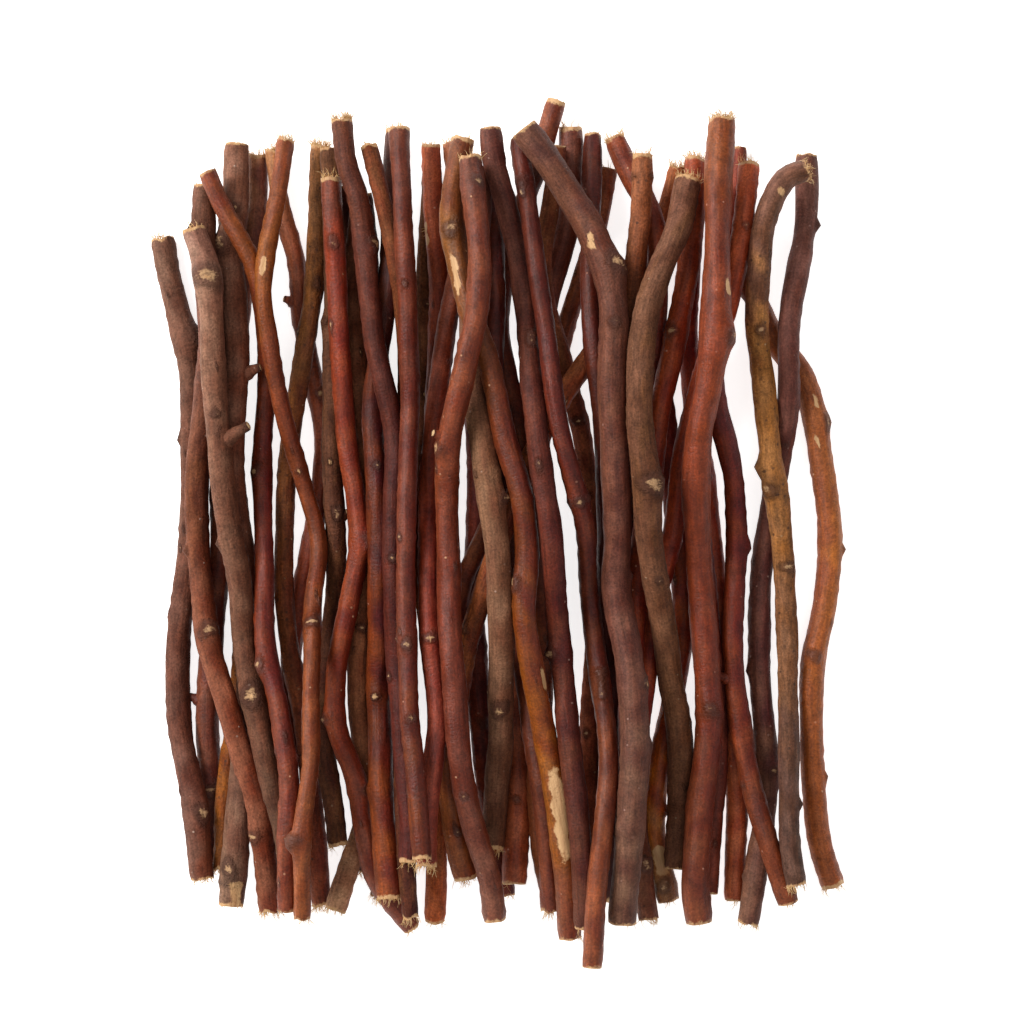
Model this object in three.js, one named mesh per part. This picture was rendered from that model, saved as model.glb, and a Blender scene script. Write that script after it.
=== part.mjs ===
import * as THREE from "three";

// A bunch of cut craft twigs lying flat, piled loosely side by side and over each other.
// Millimetres, +Z up. The origin is on the resting surface, under the middle of the bunch.

const sectionSides = 8; // facets round each twig, one of them facing straight down
const twigGap = 0.3; // clearance kept where two twigs touch
const bowRadius = 60; // how tightly a twig bows over what it rests on
const contactStep = 1; // spacing of the contact tests along a twig
const settlePasses = 400; // most rounds of lifting a twig clear of the ones below
const settleShare = 0.6; // part of each missing clearance made up in one round

const barkTones = {
  greyTaupe: "#7b5b4a",
  olive: "#5d4636",
  ochre: "#9c6f40",
  orange: "#9a5428",
  russet: "#7e3a28",
  darkRed: "#5e2a1c",
  plum: "#5e3a34",
};
const barkRoughness = 0.6;

// Every twig in the order it lies, lowest first. thickness is its diameter at the first and
// at the last point, path is the line of its middle seen from above.
const twigs = [
  { tone: "darkRed", thickness: [4.0, 4.8], path: [
    [-48.8, 76], [-49.6, 62.4], [-52.2, 45.4], [-55.4, 21.4], [-56.6, 9.4], [-56.4, -2.6],
    [-58.2, -22.6], [-59.2, -34.6], [-58.4, -56.6], [-57.8, -69]] },
  { tone: "ochre", thickness: [3.6, 3.6], path: [
    [-55, 65.4], [-55.2, 53.4], [-55, 41.4], [-53.8, 17.4], [-51.8, -6.6], [-52.2, -22.6],
    [-53.2, -37.6], [-55.2, -52.6], [-56, -69.2]] },
  { tone: "russet", thickness: [3.4, 4.4], path: [
    [-45.6, 77], [-44.2, 66.4], [-41.4, 55.4], [-40.2, 43.4], [-37.6, 31.4], [-35.6, 17.4],
    [-36, 9.4], [-38.8, -6.6], [-41.8, -22.6], [-42.6, -42.6], [-43.8, -62.6], [-44, -71.8]] },
  { tone: "ochre", thickness: [3.8, 3.8], path: [
    [-36.2, 77.8], [-36.8, 61.4], [-37.6, 45.4], [-40, 31.4], [-42.2, 17.4], [-43.4, 1.4],
    [-42.4, -22.6], [-39.6, -38.6], [-37.6, -56.6], [-35.8, -77]] },
  { tone: "darkRed", thickness: [3.6, 3.6], path: [
    [-30.4, 69.4], [-30.4, 57.4], [-29.6, 33.4], [-27.8, 9.4], [-26.2, -14.6], [-25.2, -38.6],
    [-25.2, -50.6], [-26.8, -70.2]] },
  { tone: "greyTaupe", thickness: [4.0, 4.4], path: [
    [-28, 65.4], [-29.2, 49.4], [-28.6, 37.4], [-27.4, 25.4], [-26.2, 5.4], [-26.6, -4.6],
    [-28.2, -24.6], [-28.4, -34.6], [-26.6, -53.6], [-27.2, -60.6], [-29.6, -67], [-32.8, -77.4]] },
  { tone: "darkRed", thickness: [3.6, 3.6], path: [
    [-27, 67.4], [-25, 45.4], [-23.4, 29.4], [-21.8, 5.4], [-20.4, -18.6], [-20.2, -42.6],
    [-20.2, -54.6], [-21, -64.6], [-24.2, -75.4]] },
  { tone: "darkRed", thickness: [4.4, 4.4], path: [
    [-6.2, 60.4], [-5.4, 49.4], [-4.6, 25.4], [-4, 1.4], [-5, -18.6], [-4.4, -26.6],
    [-3, -44.6], [-1.8, -54.6], [1.4, -75.2]] },
  { tone: "darkRed", thickness: [3.6, 3.6], path: [
    [22.8, 73.4], [20.2, 60.4], [15.2, 45.4], [9.6, 25.4], [4, 13.4], [-1.8, 0.4],
    [-6.6, -10.6], [-8.8, -24.6], [-9.6, -38.6], [-10, -54.6]] },
  { tone: "russet", thickness: [4.8, 5.2], path: [
    [14.8, 81.6], [15, 73.4], [14.8, 65.4], [13.2, 57.4], [9.6, 44.4], [7.8, 27.4], [8.2, 17.4],
    [6.6, 9.4], [5, -2.6], [3.4, -14.6], [3.2, -26.6], [4, -38.6], [4.4, -50.6], [3.4, -72.2]] },
  { tone: "russet", thickness: [4.0, 4.0], path: [
    [12, 86.8], [9.8, 79.4], [7.2, 71.4], [4.4, 62.4], [2, 53.4], [0.6, 45.4], [0.8, 37.4],
    [2.2, 29.4], [5.4, 13.4], [8, -2.6], [9.2, -18.6], [9.6, -26.6], [8.6, -42.6], [8, -50.6],
    [9.6, -68.6], [11, -75.6]] },
  { tone: "russet", thickness: [4.0, 4.0], path: [
    [-1.2, 70.4], [-0.4, 51.4], [-0.6, 31.4], [1.2, 13.4], [2.8, -2.6], [4.2, -20.6],
    [6.4, -36.6], [8.8, -52.6], [10.4, -68.6], [10.8, -77.2]] },
  { tone: "olive", thickness: [3.6, 3.6], path: [
    [12.2, 77.4], [10.4, 62.4], [9.2, 55.4], [9.6, 47.4], [13.4, 33.4], [17, 19.4], [19.4, 3.4],
    [20.2, -16.6], [19, -32.6], [18.6, -50.6], [17.2, -79.6]] },
  { tone: "ochre", thickness: [4.0, 4.0], path: [
    [37, 73.4], [35.4, 67.4], [33.6, 61.4], [31.6, 56.4], [29.2, 51.4], [23, 40.4], [19, 35],
    [12, 24.4], [6, 12.4], [1, -1.6], [-3.4, -14.6], [-6.6, -26.6], [-7.8, -34.6], [-9, -48.6]] },
  { tone: "russet", thickness: [3.8, 3.8], path: [
    [19.4, 79.8], [19, 65.4], [18.6, 45.4], [19, 37.4], [21.2, 19.4], [21.8, 9.4], [22, -14.6],
    [22.8, -38.6], [22.6, -62.6], [21.8, -76.4]] },
  { tone: "orange", thickness: [4.4, 4.4], path: [
    [23.8, 79.2], [25.4, 75], [29.6, 66.8], [31.4, 62.4], [32.4, 56.4], [32.2, 49.4], [32, 36.4],
    [34.4, 20.4], [36, 5.4], [37.8, -11.6], [38, -19.6], [35.8, -34.6], [33.2, -48.6],
    [32, -62.6], [33.4, -69], [35, -76.2]] },
  { tone: "ochre", thickness: [4.2, 4.2], path: [
    [29.2, 75], [28.8, 63.4], [27.6, 51.4], [26.4, 33.4], [26, 21.4], [26.8, -2.6],
    [28, -26.6], [28, -50.6], [28.4, -62.6], [30.8, -79.6]] },
  { tone: "russet", thickness: [4.0, 4.4], path: [
    [40, 62.4], [39.2, 49.4], [39, 37.4], [40, 25.4], [43, 5.4], [45, -14.6], [47.6, -34.6],
    [48.8, -52.6], [48.4, -76]] },
  { tone: "plum", thickness: [3.2, 3.6], path: [
    [49.4, 77.8], [48.6, 67.4], [46.6, 57.4], [43.8, 45.4], [41.8, 33.4], [40.6, 21.4],
    [40.6, 9.4], [41.8, -2.6], [43, -14.6], [45, -34.6], [45.2, -42.6], [44.2, -58.6],
    [43.2, -74.6]] },
  { tone: "orange", thickness: [4.8, 4.8], path: [
    [47.6, 56.4], [49.6, 51.8], [52, 47.4], [56.6, 38.4], [61.8, 31], [65, 21.4], [66.2, 13.4],
    [67.8, -6.6], [67, -14.6], [64.6, -26.6], [64, -38.6], [64.8, -54.6], [66.2, -66.6],
    [68.4, -73.2]] },
  { tone: "russet", thickness: [4.2, 4.2], path: [
    [50.8, 73.4], [50.2, 67.4], [48.6, 55.4], [45.6, 42.4], [40.6, 28.4], [37.4, 13.4],
    [35.2, -2.6], [31.8, -17.6], [29.8, -32.6], [28.6, -40.6], [26.6, -54.6]] },
  { tone: "olive", thickness: [4.0, 4.0], path: [
    [-34, 76.8], [-33.2, 61.4], [-33.2, 37.4], [-33.6, 13.4], [-32.8, -2.6], [-33, -10.6],
    [-35.2, -34.6], [-35.2, -42.6], [-33, -57.6], [-32.2, -64.2]] },
  { tone: "olive", thickness: [3.6, 4.2], path: [
    [-13.4, 73.4], [-14.2, 61.4], [-14.8, 49.4], [-14.6, 25.4], [-15.2, -2.6], [-14.6, -14.6],
    [-13, -26.6], [-11.4, -38.6], [-11, -46.6], [-12.2, -64.6], [-12.8, -80]] },
  { tone: "russet", thickness: [3.8, 4.8], path: [
    [-13.4, 77.8], [-12.8, 61.4], [-11.8, 45.4], [-12.6, 25.4], [-12.6, 9.4], [-11.8, -22.6],
    [-11.2, -34.6], [-10.2, -46.6], [-8.8, -58.6], [-6.4, -70.2]] },
  { tone: "greyTaupe", thickness: [5.2, 5.2], path: [
    [-52.8, 77.6], [-53.4, 61.4], [-53.8, 56.4], [-53, 45.4], [-52.4, 32.4], [-53.2, 23.4],
    [-53.2, 7.4], [-51.4, -7.6], [-50.2, -22.6], [-50.2, -30.6], [-51.2, -46.6],
    [-52.6, -62.6], [-53.6, -76]] },
  { tone: "greyTaupe", thickness: [4.8, 4.8], path: [
    [-68.4, 59], [-67.4, 53], [-65.6, 45.4], [-62.6, 31.4], [-62.4, 21.4], [-62.2, 9.4],
    [-62.6, -0.6], [-65, -22.6], [-65.2, -34.6], [-63.6, -45.6], [-61.6, -54.6], [-59.4, -70.8]] },
  { tone: "russet", thickness: [4.4, 4.4], path: [
    [40.2, 75], [40, 67.4], [38.6, 53.4], [35.6, 37.4], [32.8, 23.4], [30.6, 7.4], [28, -14.6],
    [27.2, -24.6], [26.6, -38.6], [26.2, -64.6]] },
  { tone: "plum", thickness: [4.4, 4.4], path: [
    [63, 76], [63, 63.4], [61, 52.4], [59, 41.4], [59, 25.4], [56.8, 9.4], [54.2, -6.6],
    [53.4, -24.6], [54.6, -42.6], [55.2, -50.6], [53.4, -64.6], [50.8, -80.4]] },
  { tone: "orange", thickness: [4.0, 4.0], path: [
    [-33.4, 70.4], [-32.4, 51.4], [-31.4, 33.4], [-30.4, 17.4], [-28.4, 5.4], [-27.8, -2.6],
    [-29.8, -14.6], [-32.6, -30.6], [-32.6, -38.6], [-28.6, -50.6], [-26.6, -62.6],
    [-24, -71.6], [-21.4, -75.6], [-17.4, -81]] },
  { tone: "darkRed", thickness: [3.6, 5.0], path: [
    [-21, 80.8], [-21.6, 59.4], [-22, 49.4], [-24, 33.4], [-25.2, 25.4], [-24.2, 9.4],
    [-23.8, -10.6], [-24, -34.6], [-23.4, -50.6], [-21.6, -74]] },
  { tone: "olive", thickness: [3.4, 3.4], path: [
    [-25.8, 76.8], [-24, 69.4], [-21.4, 59.4], [-18.6, 41.4], [-18.4, 25.4], [-19, -6.6],
    [-19.4, -22.6], [-19, -46.6], [-18, -68.6], [-17.2, -77.6]] },
  { tone: "plum", thickness: [4.2, 4.2], path: [
    [-31.2, 81.8], [-30.2, 73.4], [-27.8, 65.4], [-26.6, 57.4], [-25.6, 45.4], [-24.6, 37.4],
    [-22.6, 29.4], [-21, 21.4], [-20.6, 5.4], [-20.8, -10.6], [-20, -26.6], [-18.8, -42.6],
    [-17.2, -58.6], [-17.2, -66.2]] },
  { tone: "russet", thickness: [4.0, 4.0], path: [
    [-9, 78.2], [-7.6, 61.4], [-7.6, 55.4], [-10, 41.4], [-12.2, 25.4], [-13.6, 9.4],
    [-13.8, -6.6], [-13.2, -22.6], [-11.8, -36.6], [-13.4, -52.6], [-14, -66.6]] },
  { tone: "greyTaupe", thickness: [5.4, 4.8], path: [
    [-3.8, 72.4], [-4, 61.4], [-4.6, 51.4], [-5, 41.4], [-4.6, 31.4], [-3, 17.4], [-0.6, 1.4],
    [0.2, -6.6], [0.8, -22.6], [0.8, -34.6], [-0.2, -54.6], [-1.2, -64.8]] },
  { tone: "orange", thickness: [4.4, 4.8], path: [
    [-6.8, 77.8], [-8.8, 67.4], [-9.2, 62.4], [-7.8, 53], [-5.4, 43.4], [-2, 33.4], [1.8, 17.4],
    [5, 5.4], [5.8, -3.6], [5.4, -16.6], [7, -28.6], [9.4, -40.6], [11.8, -54.6], [13, -62.6],
    [14.6, -82.2]] },
  { tone: "plum", thickness: [4.4, 4.4], path: [
    [-1.4, 80], [-1, 75.4], [1.6, 65.4], [3.6, 57.4], [5.6, 45.4], [6.8, 29.4], [8.6, 13.4],
    [10.8, -2.6], [12.4, -22.6], [14, -38.6], [15.8, -54.6], [17.2, -70.6], [17.4, -79.6]] },
  { tone: "russet", thickness: [3.6, 4.0], path: [
    [4.4, 78], [4.8, 73.4], [5.6, 68.8], [7.2, 57.4], [8.4, 47.4], [10, 37.4], [12, 21.4],
    [14, 13.4], [17.2, 1.4], [18.6, -14.6], [20.6, -30.6], [22.2, -46.6], [20.6, -62.6],
    [19.2, -78.6], [18.8, -86.8]] },
  { tone: "greyTaupe", thickness: [4.6, 4.6], path: [
    [-59, 69], [-59.2, 61.4], [-58, 45.4], [-57.8, 37.4], [-59, 25.4], [-60.8, 9.4], [-60.8, 1.4],
    [-59.6, -14.6], [-58.2, -22.6], [-53.2, -38.6], [-48.2, -54.6], [-45.8, -77]] },
  { tone: "greyTaupe", thickness: [4.8, 4.8], path: [
    [-60.6, 59.6], [-58.8, 54.4], [-57.4, 48.4], [-56.6, 33.4], [-55.6, 17.4], [-53.6, 1.4],
    [-51.2, -14.6], [-50.8, -22.6], [-47.6, -38.6], [-44.2, -53.6], [-42.8, -58.6],
    [-41.4, -66.6], [-40.6, -73]] },
  { tone: "orange", thickness: [3.6, 4.0], path: [
    [-58, 71.4], [-55, 64.4], [-52.2, 59], [-49.4, 53.8], [-47, 43.4], [-46.8, 29.4],
    [-47.8, 13.4], [-46.6, -8.6], [-46.2, -24.6], [-43.2, -36.6], [-41.2, -50.6],
    [-41.4, -60.6], [-41.6, -75.8]] },
  { tone: "orange", thickness: [3.4, 3.4], path: [
    [-42.6, 78], [-44.2, 65.4], [-46.2, 53.4], [-46.6, 47.4], [-45.6, 37.4], [-42.6, 21.4],
    [-39.4, 9.4], [-36.4, -2.6], [-37, -14.6], [-37, -30.6], [-36.8, -46.6], [-38.2, -58.6],
    [-38.4, -77]] },
  { tone: "russet", thickness: [3.8, 3.8], path: [
    [-19.6, 79.8], [-18.8, 63.4], [-17.6, 39.4], [-17.4, 25.4], [-18, 1.4], [-18, -14.6],
    [-17, -38.6], [-15.2, -56.6], [-14.6, -64.6]] },
  { tone: "orange", thickness: [4.6, 4.6], path: [
    [-5.2, 73.4], [-4.2, 61.4], [-3.4, 49.4], [-4, 41.4], [-5.8, 33.4], [-8.8, 21.4], [-9.8, 9.4],
    [-9.8, -6.6], [-8.6, -28.6], [-7.2, -46.6], [-3.8, -62.6], [-1.4, -70.6], [-0.6, -78.4]] },
  { tone: "plum", thickness: [5.8, 5.8], path: [
    [5.2, 79.4], [8.6, 75], [11.8, 70.4], [15.2, 65.4], [18, 61], [19.8, 56.8], [21.4, 53],
    [23, 43.4], [22.8, 29.4], [23.4, 13.4], [24, -2.6], [23.8, -10.6], [26.2, -26.6],
    [27.4, -42.6], [26, -62.6], [25, -78.4]] },
  { tone: "olive", thickness: [5.2, 5.2], path: [
    [38.4, 69.8], [35.8, 59.4], [31.8, 49.4], [30, 44.4], [28.8, 38.4], [28.2, 23.4], [29.4, 9.4],
    [30.4, -2.6], [32.4, -14.6], [34.8, -28.6], [36.6, -40.6], [37.2, -56.6], [36.2, -69.2]] },
  { tone: "darkRed", thickness: [4.2, 4.2], path: [
    [44.4, 71.4], [43.6, 51.4], [42.6, 38], [43.8, 25.4], [47.6, 9.4], [48.4, 1.4],
    [47.6, -24.6], [49, -38.6], [52, -54.6], [54.4, -62.6], [58.8, -75.8]] },
  { tone: "russet", thickness: [5.4, 5.4], path: [
    [45, 81.8], [44, 65.4], [43.4, 45.4], [42.6, 33.4], [40, 17.4], [39.6, 9.4], [40.6, -6.6],
    [41.8, -22.6], [42.8, -38.6], [40.6, -58.6], [40, -72.6], [40.6, -79.4]] },
  { tone: "ochre", thickness: [4.6, 4.0], path: [
    [61.8, 71.8], [58.6, 70.6], [56.4, 68.2], [54.8, 65], [53.6, 61.4], [52.6, 52.4],
    [52.2, 41.4], [53.2, 33.4], [55, 17.4], [57.2, 1.4], [58.6, -14.6], [59, -42.6],
    [59.2, -66.6], [60, -71.6]] },
];

const flatShare = Math.cos(Math.PI / sectionSides); // distance of a facet from the middle, per radius

// The rings of a twig: where its section stands, how thick it is and how far along it is.
function ringsOf({ thickness, path }) {
  const rings = path.map(([x, y]) => ({ middle: new THREE.Vector3(x, y, 0), along: 0 }));
  for (let i = 1; i < rings.length; i += 1) {
    rings[i].along = rings[i - 1].along + rings[i].middle.distanceTo(rings[i - 1].middle);
  }
  const length = rings.at(-1).along;
  for (const ring of rings) {
    ring.radius = THREE.MathUtils.lerp(thickness[0], thickness[1], ring.along / length) / 2;
  }
  return rings;
}

// Evenly spaced points on the straight runs between a twig's rings.
function contactPoints(rings) {
  const points = [];
  for (let i = 1; i < rings.length; i += 1) {
    const [from, to] = [rings[i - 1], rings[i]];
    const count = Math.ceil((to.along - from.along) / contactStep);
    for (let step = i === 1 ? 0 : 1; step <= count; step += 1) {
      const share = step / count;
      points.push({
        run: i - 1,
        share,
        along: THREE.MathUtils.lerp(from.along, to.along, share),
        radius: THREE.MathUtils.lerp(from.radius, to.radius, share),
        middle: from.middle.clone().lerp(to.middle, share),
      });
    }
  }
  return points;
}

// The lowest height the middle can have at a point, over the surface and the twigs below.
function restingHeight(point, pile) {
  let height = point.radius * flatShare;
  for (const below of pile) {
    const reach = point.radius + below.radius + twigGap;
    const across = Math.hypot(point.middle.x - below.middle.x, point.middle.y - below.middle.y);
    if (across < reach) {
      height = Math.max(height, below.middle.z + Math.sqrt(reach ** 2 - across ** 2));
    }
  }
  return height;
}

// Lays a twig on the pile: it bows down from each support, and is then lifted where it dips into one.
function settle(rings, pile) {
  const points = contactPoints(rings);
  for (const point of points) {
    point.height = restingHeight(point, pile);
  }
  for (const ring of rings) {
    const bowed = points.map((p) => p.height - (ring.along - p.along) ** 2 / (2 * bowRadius));
    ring.middle.z = Math.max(ring.radius * flatShare, ...bowed);
  }
  for (let pass = 0; pass < settlePasses; pass += 1) {
    let worst = 0;
    for (const { run, share, height } of points) {
      const [from, to] = [rings[run].middle, rings[run + 1].middle];
      const missing = height - THREE.MathUtils.lerp(from.z, to.z, share);
      if (missing > 0) {
        const weight = settleShare / ((1 - share) ** 2 + share ** 2);
        from.z += missing * (1 - share) * weight;
        to.z += missing * share * weight;
        worst = Math.max(worst, missing);
      }
    }
    if (worst < twigGap / 10) {
      break;
    }
  }
  pile.push(...contactPoints(rings));
}

// A closed faceted rod whose upright sections stand on the rings.
function twigGeometry(rings) {
  const runs = rings.length - 1;
  const curve = new THREE.CatmullRomCurve3(rings.map(({ middle }) => middle.clone().setZ(0)));
  const geometry = new THREE.CylinderGeometry(1, 1, 1, sectionSides, runs);
  const corners = geometry.getAttribute("position");
  const turn = Math.PI / sectionSides;
  const up = new THREE.Vector3(0, 0, 1);
  for (let i = 0; i < corners.count; i += 1) {
    const { middle, radius } = rings[Math.round((0.5 - corners.getY(i)) * runs)];
    const forward = curve.getTangent(0.5 - corners.getY(i));
    const side = new THREE.Vector3().crossVectors(up, forward);
    const reach = radius * Math.hypot(corners.getX(i), corners.getZ(i));
    const angle = Math.atan2(corners.getX(i), corners.getZ(i)) + turn;
    const corner = middle.clone().addScaledVector(side, reach * Math.sin(angle));
    corner.addScaledVector(up, reach * Math.cos(angle));
    corners.setXYZ(i, corner.x, corner.y, corner.z);
  }
  geometry.deleteAttribute("uv");
  geometry.computeVertexNormals();
  return geometry;
}

const bundle = new THREE.Group();
const pile = [];
twigs.forEach((twig, index) => {
  const rings = ringsOf(twig);
  settle(rings, pile);
  const bark = new THREE.MeshStandardMaterial({
    color: barkTones[twig.tone],
    roughness: barkRoughness,
    metalness: 0,
  });
  const mesh = new THREE.Mesh(twigGeometry(rings), bark);
  mesh.name = `twig_${String(index + 1).padStart(2, "0")}`;
  bundle.add(mesh);
});

const middle = new THREE.Box3().setFromObject(bundle).getCenter(new THREE.Vector3());
bundle.position.set(-middle.x, -middle.y, 0);

export default bundle;
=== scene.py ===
import math
import bmesh
import bpy
import numpy as np
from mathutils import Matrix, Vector


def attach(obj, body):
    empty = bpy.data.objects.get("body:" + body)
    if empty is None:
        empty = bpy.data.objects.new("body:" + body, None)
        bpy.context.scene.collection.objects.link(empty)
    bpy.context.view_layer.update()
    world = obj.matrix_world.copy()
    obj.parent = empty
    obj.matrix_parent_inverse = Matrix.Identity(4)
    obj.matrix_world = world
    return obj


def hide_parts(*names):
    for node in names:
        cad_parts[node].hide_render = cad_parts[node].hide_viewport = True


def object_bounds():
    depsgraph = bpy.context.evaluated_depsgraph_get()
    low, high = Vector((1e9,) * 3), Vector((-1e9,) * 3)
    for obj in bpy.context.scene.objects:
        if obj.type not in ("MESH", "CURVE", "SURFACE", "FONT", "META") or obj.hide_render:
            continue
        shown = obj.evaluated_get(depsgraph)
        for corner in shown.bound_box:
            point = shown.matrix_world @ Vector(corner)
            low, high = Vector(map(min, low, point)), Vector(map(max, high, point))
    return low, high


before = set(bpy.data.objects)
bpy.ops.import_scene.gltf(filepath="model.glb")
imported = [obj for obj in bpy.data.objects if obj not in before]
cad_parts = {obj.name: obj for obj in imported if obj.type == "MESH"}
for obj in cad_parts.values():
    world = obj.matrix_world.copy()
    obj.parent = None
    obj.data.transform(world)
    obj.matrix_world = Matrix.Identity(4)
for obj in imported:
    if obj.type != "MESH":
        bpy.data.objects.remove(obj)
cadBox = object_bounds()
mm = 0.001  # the frame is in metres, twigs are easier to think about in millimetres
print("frame loaded")

# camera: straight down on the pile, twig tops towards the upper edge
cameraLook = {
    "lens": 100,
    "sensor": 36,
    "viewWidth": 204.8,  # mm seen across the frame at the middle of the pile
    "aim": (3.0, 3.0),  # mm
}
pileMiddle = (cadBox[0].z + cadBox[1].z) / 2
cameraDistance = cameraLook["viewWidth"] * mm * cameraLook["lens"] / cameraLook["sensor"]
bpy.ops.object.camera_add(
    location=(cameraLook["aim"][0] * mm, cameraLook["aim"][1] * mm, pileMiddle + cameraDistance),
    rotation=(0, 0, 0),
)
camera = bpy.context.object
camera.name = "camera"
camera.data.lens = cameraLook["lens"]
camera.data.sensor_width = cameraLook["sensor"]
camera.data.clip_start = 0.01
bpy.context.scene.camera = camera
print("camera set")


# finishes: colours are written as they look on screen, hexColour turns them into linear light
def hexColour(code):
    parts = [int(code[i:i + 2], 16) / 255 for i in (1, 3, 5)]
    return [c / 12.92 if c <= 0.04045 else ((c + 0.055) / 1.055) ** 2.4 for c in parts]


def paint(code):
    return (*hexColour(code), 1)


# adds a node: an input given as a socket is linked, anything else is set on the node's own socket
def addNode(tree, kind, inputs=None, **settings):
    node = tree.nodes.new("ShaderNode" + kind)
    for name, value in settings.items():
        setattr(node, name, value)
    for name, value in (inputs or {}).items():
        if isinstance(value, bpy.types.NodeSocket):
            tree.links.new(value, node.inputs[name])
        else:
            node.inputs[name].default_value = value
    return node


# a Mix node in colour mode has its sockets at these places
mixA = 6
mixB = 7
mixResult = 2

# Bark of seven tones. All sizes are in mm on the twig's skin, because barkPlace is in mm.
# cast shifts the red, green and blue of every tint, streak is mm across and along, shade is how far
# the streaks swing the colour, and patch is a second colour that shows through. speck and dots say
# how strong the dark specks and the pale pores are.
barkLooks = {
    "greyTaupe": {
        "slot": "grey_bark", "cast": (1, 1, 0.97), "shine": 0.2,
        "rough": (0.62, 0.82), "bump": 1.04,
        "streak": (0.7, 7.0), "shade": 0.29, "patch": "#6a3a28", "patchAmount": 0.42,
        "speck": 0.28, "dots": 0.61, "dotColour": "#c4a592",
    },
    "olive": {
        "slot": "olive_bark", "cast": (1.05, 0.95, 0.95), "shine": 0.18,
        "rough": (0.6, 0.8), "bump": 1.14,
        "streak": (0.6, 5.0), "shade": 0.35, "patch": "#6e4526", "patchAmount": 0.45,
        "speck": 0.4, "dots": 0.47, "dotColour": "#b79b7c",
    },
    "ochre": {
        "slot": "ochre_bark", "cast": (1.02, 0.98, 1.1), "shine": 0.22,
        "rough": (0.5, 0.72), "bump": 1.14,
        "streak": (0.6, 4.0), "shade": 0.35, "patch": "#5c3a22", "patchAmount": 0.4,
        "speck": 0.75, "dots": 0.41, "dotColour": "#cfae84",
    },
    "orange": {
        "slot": "orange_bark", "cast": (0.92, 0.93, 0.88), "shine": 0.3,
        "rough": (0.4, 0.58), "bump": 0.76,
        "streak": (0.8, 9.0), "shade": 0.29, "patch": "#6c2c18", "patchAmount": 0.4,
        "speck": 0.18, "dots": 0.81, "dotColour": "#d19d78",
    },
    "russet": {
        "slot": "russet_bark", "cast": (0.98, 0.94, 0.78), "shine": 0.28,
        "rough": (0.38, 0.56), "bump": 0.72,
        "streak": (0.8, 10.0), "shade": 0.29, "patch": "#54201a", "patchAmount": 0.4,
        "speck": 0.16, "dots": 0.81, "dotColour": "#c98d74",
    },
    "darkRed": {
        "slot": "dark_red_bark", "cast": (1, 1.2, 1.1), "shine": 0.24,
        "rough": (0.4, 0.58), "bump": 0.76,
        "streak": (0.7, 8.0), "shade": 0.32, "patch": "#3c1812", "patchAmount": 0.4,
        "speck": 0.16, "dots": 0.61, "dotColour": "#b98068",
    },
    "plum": {
        "slot": "plum_bark", "cast": (1.02, 0.99, 0.74), "shine": 0.22,
        "rough": (0.48, 0.66), "bump": 0.85,
        "streak": (0.7, 8.0), "shade": 0.29, "patch": "#4a2420", "patchAmount": 0.4,
        "speck": 0.2, "dots": 0.68, "dotColour": "#b98f80",
    },
}
barkSizes = {
    "patch": (3.2, 11.0),  # blotches, across and along
    "mottle": 2.4,
    "grain": 0.42,  # the finest pores, drawn a little coarser than they are so that they show
    "wrinkle": (1.6, 0.42),  # faint creases across the twig
    "speckCell": 1.5,
    "speckRadius": 0.26,  # share of a cell
    "dotCell": 3.4,
    "dotRadius": 0.085,  # share of a cell, so the pores are about 0.6 mm across
    "relief": 0.2,  # depth of the bumps
}
# where each layer of the bark begins to show and where it is full, on its own noise
barkEdges = {
    "patch": (0.48, 0.66),
    "knotRim": (0.76, 1.08),
    "knotHeart": (1.34, 1.52),
    "bare": (1.28, 1.5),
    "bareGrain": (0.42, 0.72),
}
woodColours = {
    "bare": "#cda273",
    "bareDark": "#94603a",
    "knotRim": "#3f241a",
    "knotHeart": "#ba926a",
    "speck": "#3a2318",
}


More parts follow.
